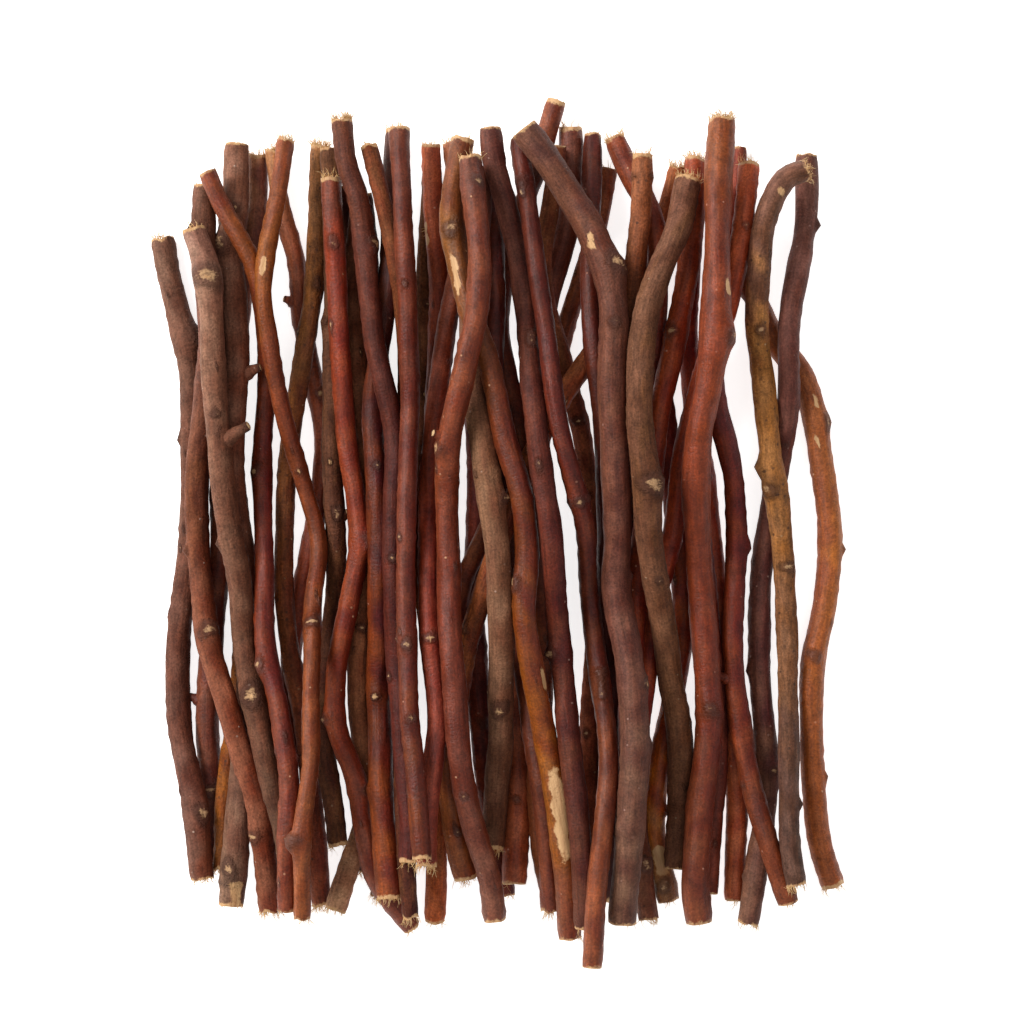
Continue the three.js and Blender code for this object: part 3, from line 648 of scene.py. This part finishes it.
        "tintsAndShade": [(78, "#74504a", "#5c3a36"), (60, "#73493c", "#5c3228"), (50, "#6e463e", "#583630"),
                  (20, "#70463c", "#56302a"), (-20, "#6c443e", "#54302c"), (-76, "#7a5a50", "#604038")],
        "marks": [("peel", 58, 55.6, -15, 16), ("knot", 51.8, 30, 1.6), ("tuft", 52.4, 55, 9),
                  ("knot", 50.4, 65, 1.2), ("scar", 40, 0, 0.9), ("knot", 40, 0, 1.2),
                  ("ring", -0.6, 0, 0.8), ("bud", -10.2, 75, 1.2), ("knot", -31.6, 65, 1.5),
                  ("bud", -43.6, 78, 1.2), ("knot", -60.5, -60, 1.0)],
    },
    "twig_45": {
        "bark": "olive", "ends": ("rim", 34, "cut", 0),
        "tintsAndShade": [(68, "#785544", "#5e3e30"), (40, "#755440", "#5c3e2e"), (10, "#6a4836", "#523426"),
                  (-30, "#74523c", "#5a3a28"), (-66, "#6a4a38", "#523428")],
        "marks": [("knot", 9, 20, 2.0), ("tuft", 9.6, 45, 9), ("swell", 9, 30, 2.0),
                  ("knot", -10, 10, 0.8)],
    },
    "twig_46": {
        "bark": "darkRed", "ends": ("cut", 0, "cut", 5),
        "tintsAndShade": [(60, "#6e2e20", "#582218"), (10, "#6e2e22", "#561f16"), (-30, "#74321f", "#5c2416"),
                  (-72, "#7c3e2c", "#663020")],
        "marks": [("bud", -3.6, 75, 1.3), ("stub", -30.2, -75, 1.6), ("bud", -52, -60, 0.8),
                  ("knot", -14, 0, 0.7)],
    },
    "twig_47": {
        "bark": "russet", "ends": ("torn", 44, "cut", 4),
        "tintsAndShade": [(80, "#8e5434", "#7c4024"), (60, "#824631", "#6c3020"), (30, "#84412f", "#7e3a1c"),
                  (0, "#7c3c2a", "#74341a"), (-36, "#763a28", "#642a1a"), (-76, "#7e4632", "#66301f")],
        "marks": [("peel", 49, 45.5, 55, 18), ("knot", 38, 65, 1.9), ("swell", 38, 65, 2.4),
                  ("tuft", 40, 80, 5), ("bud", -36.2, -5, 1.8), ("ring", -37.8, 0, 1.2),
                  ("ring", -34.4, 0, 0.8), ("knot", 0, 20, 0.7)],
    },
    "twig_48": {
        "bark": "ochre", "ends": ("torn", 14, "torn", 16),
        "tintsAndShade": [(70, "#7c5846", "#66432f"), (50, "#74503c", "#5c3a28"), (44, "#9a6a42", "#7c4c2a"),
                  (36, "#a9743e", "#93602f"), (0, "#a5713f", "#8e5a2c"), (-14, "#8a5f3e", "#744a2c"),
                  (-36, "#7e583c", "#66422c"), (-44, "#5e4236", "#4a3026"), (-70, "#604638", "#4c3428")],
        "marks": [("bud", 12.4, -78, 2.2), ("knot", 8, -40, 1.5), ("bud", -55.8, 75, 1.2),
                  ("peel", 68.5, 66.5, 20, 26), ("knot", 40, 10, 1.2), ("knot", -8, 20, 1.3)],
    },
}


# the CAD rod's rings, first end to last: walks out from the middle of an end, one ring at a time
def readRings(name):
    net = bmesh.new()
    net.from_mesh(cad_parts[name].data)
    bmesh.ops.remove_doubles(net, verts=net.verts, dist=0.01 * mm)
    net.verts.index_update()
    near = {v: [e.other_vert(v) for e in v.link_edges] for v in net.verts}
    # only the middle of an end lies amid all the corners it is joined to
    hubs = [v for v in net.verts
            if (sum((n.co for n in near[v]), Vector()) / len(near[v]) - v.co).length < 0.02 * mm]
    start = max(hubs, key=lambda v: v.co.y)
    layers = []
    seen = {start}
    layer = [start]
    while layer:
        layer = sorted({n for v in layer for n in near[v]} - seen, key=lambda v: v.index)
        seen.update(layer)
        if len(layer) > 1:
            layers.append(np.array([v.co for v in layer]))
    net.free()
    middles = np.array([ring.mean(axis=0) for ring in layers])
    radii = np.array([np.linalg.norm(ring - ring.mean(axis=0), axis=1).mean() for ring in layers])
    return middles / mm, radii / mm


# a smooth line through the rings: place and direction at any distance along it
def lineThrough(points):
    steps = np.linalg.norm(np.diff(points, axis=0), axis=1)
    knots = np.concatenate([[0], np.cumsum(steps)])
    slopes = np.diff(points, axis=0) / steps[:, None]
    inner = slopes[:-1] * steps[1:, None] + slopes[1:] * steps[:-1, None]
    inner /= (steps[:-1] + steps[1:])[:, None]
    tangents = np.vstack([slopes[:1], inner, slopes[-1:]])

    def at(distance):
        d = np.clip(distance, 0, knots[-1])
        i = np.clip(np.searchsorted(knots, d, side="right") - 1, 0, len(steps) - 1)
        h = steps[i][:, None]
        u = ((d - knots[i]) / steps[i])[:, None]
        a, b, ta, tb = points[i], points[i + 1], tangents[i] * h, tangents[i + 1] * h
        place = ((2 * u**3 - 3 * u**2 + 1) * a + (u**3 - 2 * u**2 + u) * ta
                 + (3 * u**2 - 2 * u**3) * b + (u**3 - u**2) * tb)
        ahead = (6 * u**2 - 6 * u) * (a - b) + (3 * u**2 - 4 * u + 1) * ta + (3 * u**2 - 2 * u) * tb
        ahead /= np.linalg.norm(ahead, axis=1)[:, None]
        return place + ahead * (distance - d)[:, None], ahead

    return at, knots


def unit(vectors):
    return vectors / np.linalg.norm(vectors, axis=-1, keepdims=True)


# a CAD twig as a smooth line with a thickness, in mm
class Rod:
    def __init__(self, name):
        middles, self.radii = readRings(name)
        self.at, self.knots = lineThrough(middles)
        self.length = self.knots[-1]
        self.steps = np.linspace(0, self.length, 600)
        self.heights = self.at(self.steps)[0][:, 1]

    # how far along the twig it passes y
    def startOf(self, y):
        return self.steps[np.argmin(np.abs(self.heights - y))]

    def thickness(self, along):
        return np.interp(along, self.knots, self.radii)

    # its middle, the way ahead, the way across to +x and the way up, at one distance
    def section(self, along):
        centre, ahead = self.at(np.array([along]))
        across = unit(np.cross([0.0, 0.0, 1.0], ahead))[0]
        return centre[0], ahead[0], across, np.cross(ahead[0], across)

    # a point on the plain skin, the way out of it and the way ahead
    def skinAt(self, y, degrees):
        along = self.startOf(y)
        centre, ahead, across, upward = self.section(along)
        angle = math.radians(degrees)
        outward = across * math.sin(angle) + upward * math.cos(angle)
        return centre + outward * self.thickness(along), outward, ahead


# gentle unevenness that closes on itself round the twig
def ripple(rng, along, turn, length, turns, waves=6):
    total = np.zeros_like(along)
    for _ in range(waves):
        pitch = 2 * math.pi / (length * rng.uniform(0.7, 1.6))
        start = rng.uniform(0, 2 * math.pi)
        total += np.cos(pitch * along + rng.integers(-turns, turns + 1) * turn + start)
    return total / math.sqrt(waves / 2)


def bump(x, width):
    return np.exp(-(x / width) ** 2)


def wrap(angle):
    return (angle + math.pi) % (2 * math.pi) - math.pi


# how each kind of mark is shaped, in shares of its own size, but the peel's depth is in mm.
# rise and shoulder lift the skin, pit and groove sink it, and stain and open say how far its dark
# bark and its bare wood reach
markShape = {
    "peel": {"depth": 0.16},
    "knot": {"rise": 0.62, "shoulder": 0.12, "pit": 0.4, "stain": 1.1},
    "bud": {"rise": 0.75, "shoulder": 0.1, "stain": 0.8},
    "ring": {"rise": 0.2, "groove": 0.08},
    "scar": {"rise": 0.2, "pit": 0.12, "stain": 0.9, "open": 0.5},
    "swell": {"rise": 0.3, "length": 1.9, "width": 1.2},
}


# a place where the bark has come off: a shallow dip with a wavering edge
def peelBark(mark, rod, along, turn, rng):
    _, yFirst, yLast, side, half = mark
    first, last = rod.startOf(yFirst), rod.startOf(yLast)
    swing = 1 + 0.18 * ripple(rng, along, turn * 0, 4, 0, 4)
    drift = 0.1 * ripple(rng, along, turn * 0, 6, 0, 3)
    off = np.abs(wrap(turn - math.radians(side) - drift)) / (math.radians(half) * swing)
    end = np.abs(along - (first + last) / 2) / max((last - first) / 2, 0.5)
    bare = np.clip(1.5 - np.hypot(off, end**1.6), 0, 1)
    lift = -markShape["peel"]["depth"] * np.clip((bare - 0.35) / 0.3, 0, 1)
    return lift, np.zeros_like(along), bare


# how far each mark lifts the skin, and where it shows as a knot or as bare wood
def growMark(mark, rod, along, turn, radius, rng):
    if mark[0] == "peel":
        return peelBark(mark, rod, along, turn, rng)
    kind, y, side, size = mark
    shape = markShape[kind]
    knot = np.zeros_like(along)
    bare = np.zeros_like(along)
    u = along - rod.startOf(y)
    v = wrap(turn - math.radians(side)) * radius
    facing = np.arctan2(v, u)  # no knot is a true circle
    away = 0.2 * np.cos(2 * facing + rng.uniform(0, 6)) + 0.14 * np.cos(3 * facing + rng.uniform(0, 6))
    away = np.hypot(u, v) * (1 + away)
    if kind == "knot":
        size = rng.uniform(1.05, 1.4) * size
        lift = shape["rise"] * size * bump(u, 0.9 * size) * bump(v, 0.8 * size)
        lift += shape["shoulder"] * size * bump(u, 1.8 * size)
        lift -= shape["pit"] * size * bump(away - 0.15 * size, 0.3 * size)
        knot = np.clip(1.15 - away / (shape["stain"] * size), 0, 1)
    elif kind == "bud":
        lift = shape["rise"] * size * bump(u - 0.3 * v, 0.8 * size) * bump(v, 0.6 * size)
        lift += shape["shoulder"] * size * bump(away, 2 * size)
        knot = 0.75 * np.clip(1.15 - away / (shape["stain"] * size), 0, 1)
    elif kind == "ring":
        uneven = 0.75 + 0.3 * ripple(rng, along * 0, turn, 10, 3, 4)
        lift = size * (shape["rise"] * uneven * bump(u, 0.55) - shape["groove"] * bump(u - 1.1, 0.6))
        knot = 0.3 * size * uneven * bump(u, 0.4)
    elif kind == "scar":
        bare = 0.85 * np.clip(1.3 - away / (shape["open"] * size), 0, 1)
        knot = 0.6 * np.clip(1.3 - away / (shape["stain"] * size), 0, 1)
        lift = shape["rise"] * size * bump(away, 0.8 * size)
        lift -= shape["pit"] * size * bump(away, 0.3 * size)
    else:
        lift = shape["rise"] * size * bump(u, shape["length"] * size) * bump(v, shape["width"] * size)
    return lift, knot, bare


# a closed tube of a few flat sides along the points
def tube(points, radii, sides):
    points = np.asarray(points, float)
    ahead = unit(np.gradient(points, axis=0))
    spare = np.array([0.0, 0.0, 1.0]) if abs(ahead[0][2]) < 0.8 else np.array([1.0, 0.0, 0.0])
    across = unit(np.cross(spare, ahead))
    upward = np.cross(ahead, across)
    angles = np.arange(sides) * 2 * math.pi / sides
    angles = angles[None, :, None]
    ring = across[:, None] * np.cos(angles) + upward[:, None] * np.sin(angles)
    corners = (points[:, None] + ring * np.asarray(radii)[:, None, None]).reshape(-1, 3)
    faces = []
    for i in range(len(points) - 1):
        for j in range(sides):
            a, b = i * sides + j, i * sides + (j + 1) % sides
            faces.append((a, b, b + sides, a + sides))
    last = (len(points) - 1) * sides
    ends = [tuple(range(sides))[::-1], tuple(range(last, last + sides))]
    return corners, faces, ends


# the places of the three materials on a piece
barkFinish = 0
cutFinish = 1
strawFinish = 2


# gathers the corners, faces and values of one twig's mesh
class TwigMesh:
    def __init__(self):
        self.corners, self.faces, self.finish = [], [], []
        self.values = {"barkPlace": [], "barkTint": [], "knot": [], "bare": []}
        self.count = 0

    def add(self, corners, faces, finish, **values):
        self.corners.append(corners)
        self.faces += [tuple(i + self.count for i in face) for face in faces]
        self.finish += list(finish)
        self.count += len(corners)
        for name, rows in self.values.items():
            rows.append(values[name])


skinShape = {
    "sheen": 0.011,  # light the matt skin throws back whatever its colour
    "overRod": 0.1,  # mm the bark stands over the plain rod
    "swelling": (0.035, 24),  # share of the radius, mm between swellings
    "oval": (0.035, 40),
    "ridges": (0.035, 16, 7),  # mm high, mm long, most ridges round the twig
    "pimples": (0.05, 2.6, 6),
    "smallKnots": (3, 7),  # a twig has at least the first and fewer than the second, anywhere
    "smallKnotSize": (0.3, 0.55),
}


# the bark's radius all over the blank: the plain rod, slow swellings and ridges, then the marks
def growSkin(rod, twig, along, turn, rng):
    radius = rod.thickness(along) + skinShape["overRod"]
    share, pitch = skinShape["swelling"]
    radius *= 1 + share * ripple(rng, along, turn, pitch, 1)
    share, pitch = skinShape["oval"]
    radius *= 1 + share * np.cos(2 * turn + ripple(rng, along, turn * 0, pitch, 0, 3))
    for height, pitch, turns in (skinShape["ridges"], skinShape["pimples"]):
        radius += height * ripple(rng, along, turn, pitch, turns, 10)
    marks = [mark for mark in twig["marks"] if mark[0] not in ("stub", "tuft")]
    for _ in range(rng.integers(*skinShape["smallKnots"])):
        y = rng.uniform(rod.heights[-1] + 6, rod.heights[0] - 6)
        marks.append(("knot", y, rng.uniform(-90, 90), rng.uniform(*skinShape["smallKnotSize"])))
    knot = np.zeros_like(along)
    bare = np.zeros_like(along)
    solid = radius.copy()
    for mark in marks:
        lift, knotHere, bareHere = growMark(mark, rod, along, turn, solid, rng)
        radius += lift
        knot = np.maximum(knot, knotHere)
        bare = np.maximum(bare, bareHere)
    return radius, knot, bare


# each kind of end: mm it is ragged in and out, mm of loose bark at its rim, how bare its rim is
endKinds = {"cut": (0.06, 0.0, 0.7), "rim": (0.1, 0.14, 1.0), "torn": (0.2, 0.1, 0.7)}
endShape = {
    "edgeRound": 0.07,  # share of the radius lost at the rim of a cut
    "edgeLength": 0.45,
    "raggedLength": 3,  # mm of twig that the raggedness pulls along
    "bareLength": 0.55,
}


# the two ends: rounded rim, ragged cut, a lip of loose bark on some
def cutEnds(rod, twig, along, turn, radius, bare, rng):
    shift = np.zeros_like(along)
    firstKind, _, lastKind, _ = twig["ends"]
    for kind, gap, way in ((firstKind, along, -1), (lastKind, rod.length - along, 1)):
        ragged, lip, bareness = endKinds[kind]
        near = np.clip(1 - gap / endShape["raggedLength"], 0, 1) ** 2
        radius *= 1 - endShape["edgeRound"] * np.clip(1 - gap / endShape["edgeLength"], 0, 1)
        radius += lip * bump(gap - 0.4, 0.8) * (0.7 + 0.5 * ripple(rng, along * 0, turn, 10, 4, 4))
        slant = 0.6 * math.sin(rng.uniform(0, 6)) * np.sin(turn + 1)
        shift += way * near * ragged * blankReach * (ripple(rng, along * 0, turn, 10, 5, 6) + slant)
        bare = np.maximum(bare, bareness * np.clip(1 - gap / endShape["bareLength"], 0, 1))
    return radius, bare, shift


# the tints say how the bark looks in daylight, so the sky's own pale sheen comes off again
def underSheen(code, twig):
    own = [max(c - skinShape["sheen"], 0.004) * twig.get("lighter", 1) for c in hexColour(code)]
    return [c * k for c, k in zip(own, barkLooks[twig["bark"]]["cast"])]


# the bark's own colour with painted light on its left and painted shade on its right, blended between the
# tints from left to right and along y
def tintAndShadeAt(twig, y, turn, wander):
    tintsAndShade = twig["tintsAndShade"][::-1]
    heights = [tintAndShade[0] for tintAndShade in tintsAndShade]
    left = np.array([underSheen(tintAndShade[1], twig) for tintAndShade in tintsAndShade])
    right = np.array([underSheen(tintAndShade[2], twig) for tintAndShade in tintsAndShade])
    y = y + 3.5 * wander
    lefts = np.stack([np.interp(y, heights, left[:, c]) for c in range(3)], axis=1)
    rights = np.stack([np.interp(y, heights, right[:, c]) for c in range(3)], axis=1)
    # painted shade: towards +x the darker right-side tint takes over, towards -x the lighter left one
    share = np.clip(0.5 + 0.75 * np.sin(turn) + 0.28 * wander, 0, 1)[:, None]
    return lefts * (1 - share) + rights * share


strawShape = {
    "reach": (0.3, 2.6),  # mm a fibre stands out of the end, most of them near the shorter
    "tuftReach": (0.7, 1.6),
    "thick": 0.065,  # mm of radius
    "points": 6,
    "sides": 4,
    "curl": 1.1,
    "perLock": 4,  # fibres in each small twisted lock, on average
    "lowest": 0.2,  # mm above the table
}


# one loose fibre, curled by a slowly turning heading
def addFibre(grown, rng, root, heading, reach):
    points = [root - heading * 0.25]
    bend = unit(rng.normal(size=3))
    for _ in range(strawShape["points"] - 1):
        points.append(points[-1] + heading * reach / (strawShape["points"] - 1))
        heading = unit(heading + bend * strawShape["curl"] * rng.uniform(0.1, 0.9) / 2
                       + rng.normal(size=3) * 0.12)
    lowest = min(p[2] for p in points)
    points = [p + np.array([0, 0, max(0, strawShape["lowest"] - lowest)]) for p in points]
    thick = strawShape["thick"] * rng.uniform(0.6, 1.3)
    radii = thick * np.linspace(1, 0.35, len(points))
    corners, faces, ends = tube(points, radii, strawShape["sides"])
    rows = len(corners)
    grown.add(corners, faces + ends, [strawFinish] * (len(faces) + 2), barkPlace=corners,
              barkTint=np.ones((rows, 3)), knot=np.zeros(rows), bare=np.zeros(rows))


stubShape = {
    "thick": (0.5, 0.16),  # mm of radius, and how much of its length is added to that
    "lean": 0.45,  # towards the first end
    "sides": 10,
    "steps": (-0.9, 0.0, 0.3, 0.65, 0.92, 1.0, 1.03),  # the first in mm, the rest shares of its length
    "widths": (2.0, 1.8, 1.35, 1.05, 1.05, 0.9, 0.5),
    "rough": 0.03,  # mm
}


# a snapped side branch: a short rod leaning off the twig with a pale broken tip
def addStub(grown, rng, root, outward, ahead, size, tintAndShade):
    sides = stubShape["sides"]
    lean = unit(outward - ahead * stubShape["lean"] + rng.normal(size=3) * 0.08)
    least, share = stubShape["thick"]
    thick = least + share * min(size, 3)
    steps = np.array(stubShape["steps"]) * np.array([1] + [size] * 6)
    points = [root + lean * s + outward * 0.12 * max(s, 0) ** 2 / max(size, 1) for s in steps]
    corners, faces, ends = tube(points, thick * np.array(stubShape["widths"]), sides)
    corners += rng.normal(size=corners.shape) * stubShape["rough"]
    rows = len(corners)
    finish = [barkFinish] * (len(faces) - sides) + [cutFinish] * sides + [barkFinish, cutFinish]
    knot = np.zeros(rows)
    knot[-3 * sides:] = 0.5  # the last three rings are stained like a knot
    grown.add(corners, faces + ends, finish, barkPlace=corners, barkTint=np.tile(tintAndShade, (rows, 1)),
              knot=knot, bare=np.zeros(rows))


# what stands off the skin: side stubs, and tufts of fibre at torn knots
def addBranches(grown, rod, twig, place, tintAndShade, rng):
    for mark in twig["marks"]:
        if mark[0] == "stub":
            root, outward, ahead = rod.skinAt(mark[1], mark[2])
            # the stub takes the twig's colour nearest its root, with the painted light and shade of that
            # place
            stubTintAndShade = tintAndShade[np.argmin(np.abs(place[:, 1] - mark[1]))]
            addStub(grown, rng, root, outward, ahead, mark[3], stubTintAndShade)
        elif mark[0] == "tuft":
            for _ in range(mark[3]):
                root, outward, _ = rod.skinAt(mark[1] + rng.normal() * 0.6, mark[2] + rng.normal() * 22)
                heading = unit(outward + rng.normal(size=3) * 0.5)
                addFibre(grown, rng, root, heading, rng.uniform(*strawShape["tuftReach"]))


# straw at the two ends, in small locks that start together
def addStraw(grown, rod, twig, rng):
    lock = 0
    firstKind, firstLocks, lastKind, lastLocks = twig["ends"]
    short, tall = strawShape["reach"]
    for kind, count, where, way in ((firstKind, firstLocks, 0.0, -1), (lastKind, lastLocks, rod.length, 1)):
        centre, ahead, across, upward = rod.section(where)
        for _ in range(count * strawShape["perLock"]):
            if rng.random() < 1 / strawShape["perLock"]:
                lock = rng.uniform(-1.9, 1.9)
            angle = lock + rng.normal() * 0.3
            out = across * math.sin(angle) + upward * math.cos(angle)
            root = centre + out * rod.thickness(where) * rng.uniform(0.55, 1.0)
            heading = unit(ahead * way + out * rng.uniform(-0.1, 0.7) + rng.normal(size=3) * 0.25)
            share = rng.random() ** (1.2 if kind == "torn" else 2.2)
            addFibre(grown, rng, root, heading, short + (tall - short) * share)


def growTwig(name, number, twig, rng):
    rod = Rod(name)
    along = blankAlong * rod.length
    turn = blankTurn
    radius, knot, bare = growSkin(rod, twig, along, turn, rng)
    radius, bare, shift = cutEnds(rod, twig, along, turn, radius, bare, rng)
    place, ahead = rod.at(along + shift)
    side = unit(np.cross([0.0, 0.0, 1.0], ahead))
    upward = np.cross(ahead, side)
    reach = (radius * blankReach)[:, None]
    corners = place + side * reach * np.sin(turn)[:, None] + upward * reach * np.cos(turn)[:, None]
    corners[:, 2] = np.maximum(corners[:, 2], 0.02 + 0.02 * blankReach)  # flat where it rests

    # a straight twig's own places, moved on for each twig so that no two share a pattern
    girth = rod.radii.mean()
    barkPlace = np.stack([np.sin(turn) * girth * blankReach + 31 * number,
                          np.cos(turn) * girth * blankReach, along + 17 * number], axis=1)
    wander = ripple(rng, along, turn, 9, 2)
    # the bark's colour with painted light on the left side and painted shade on the right
    tintAndShade = tintAndShadeAt(twig, place[:, 1], turn, wander)
    grown = TwigMesh()
    finish = np.where(blankEnds, cutFinish, barkFinish)
    grown.add(corners, blankFaces, finish, barkPlace=barkPlace, barkTint=tintAndShade, knot=knot, bare=bare)
    addBranches(grown, rod, twig, place, tintAndShade, rng)
    addStraw(grown, rod, twig, rng)
    return grown


def makePiece(name, grown, tone):
    mesh = bpy.data.meshes.new(name)
    mesh.from_pydata(np.concatenate(grown.corners) * mm, [], grown.faces)
    for finish in (barks[tone], cutWood, straw):
        mesh.materials.append(finish)
    mesh.polygons.foreach_set("material_index", grown.finish)
    for key, rows in grown.values.items():
        rows = np.concatenate(rows).astype(np.float32)
        if key == "barkTint":
            rows = np.hstack([rows, np.ones((len(rows), 1), np.float32)])
            mesh.attributes.new(key, "FLOAT_COLOR", "POINT").data.foreach_set("color", rows.ravel())
        elif key == "barkPlace":
            mesh.attributes.new(key, "FLOAT_VECTOR", "POINT").data.foreach_set("vector", rows.ravel())
        else:
            mesh.attributes.new(key, "FLOAT", "POINT").data.foreach_set("value", rows)
    mesh.update()
    piece = bpy.data.objects.new(name, mesh)
    bpy.context.scene.collection.objects.link(piece)
    bpy.ops.object.select_all(action="DESELECT")
    piece.select_set(True)
    bpy.context.view_layer.objects.active = piece
    bpy.ops.object.shade_smooth_by_angle(angle=math.radians(48))
    return piece


firstSeed = 400
for number, (name, twig) in enumerate(twigs.items(), start=1):
    grown = growTwig(name, number, twig, np.random.default_rng(firstSeed + number))
    piece = makePiece("bark_" + name, grown, twig["bark"])
    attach(piece, "root")
    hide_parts(name)
print("twigs grown:", len(twigs))


# the table it lies on and the light
studio = {
    "floorSize": 4.0,  # metres, as the lamps' places and sizes are
    "floorColour": "#f7f7f5",
    "floorGlow": 0.78,  # the paper is lit from below too, like a light table
    "skyStrength": 0.5,
    "key": {"place": (-0.75, 0.45, 0.75), "size": 0.6, "watts": 15.0},
    "fill": {"place": (0.5, -0.5, 1.1), "size": 1.2, "watts": 2.0},
}


def makeStudio(look):
    bpy.ops.object.select_all(action="DESELECT")
    bpy.ops.mesh.primitive_plane_add(size=look["floorSize"])
    floor = bpy.context.object
    floor.name = "floor"
    paper = bpy.data.materials.new("whitePaper")
    paper.use_nodes = True
    shader = paper.node_tree.nodes["Principled BSDF"]
    shader.inputs["Base Color"].default_value = paint(look["floorColour"])
    shader.inputs["Roughness"].default_value = 0.9
    shader.inputs["Emission Color"].default_value = (1, 1, 1, 1)
    shader.inputs["Emission Strength"].default_value = look["floorGlow"]
    floor.data.materials.append(paper)
    for name in ("key", "fill"):
        lamp = look[name]
        bpy.ops.object.light_add(type="AREA", location=lamp["place"])
        light = bpy.context.object
        light.name = name + "Light"
        light.data.size = lamp["size"]
        light.data.energy = lamp["watts"]
        light.rotation_euler = (-Vector(lamp["place"])).to_track_quat("-Z", "Y").to_euler()
    world = bpy.data.worlds.new("studioSky")
    world.use_nodes = True
    sky = world.node_tree.nodes["Background"]
    sky.inputs["Color"].default_value = (1, 1, 1, 1)
    sky.inputs["Strength"].default_value = look["skyStrength"]
    bpy.context.scene.world = world
    bpy.context.scene.view_settings.view_transform = "Standard"


makeStudio(studio)
print("studio set")
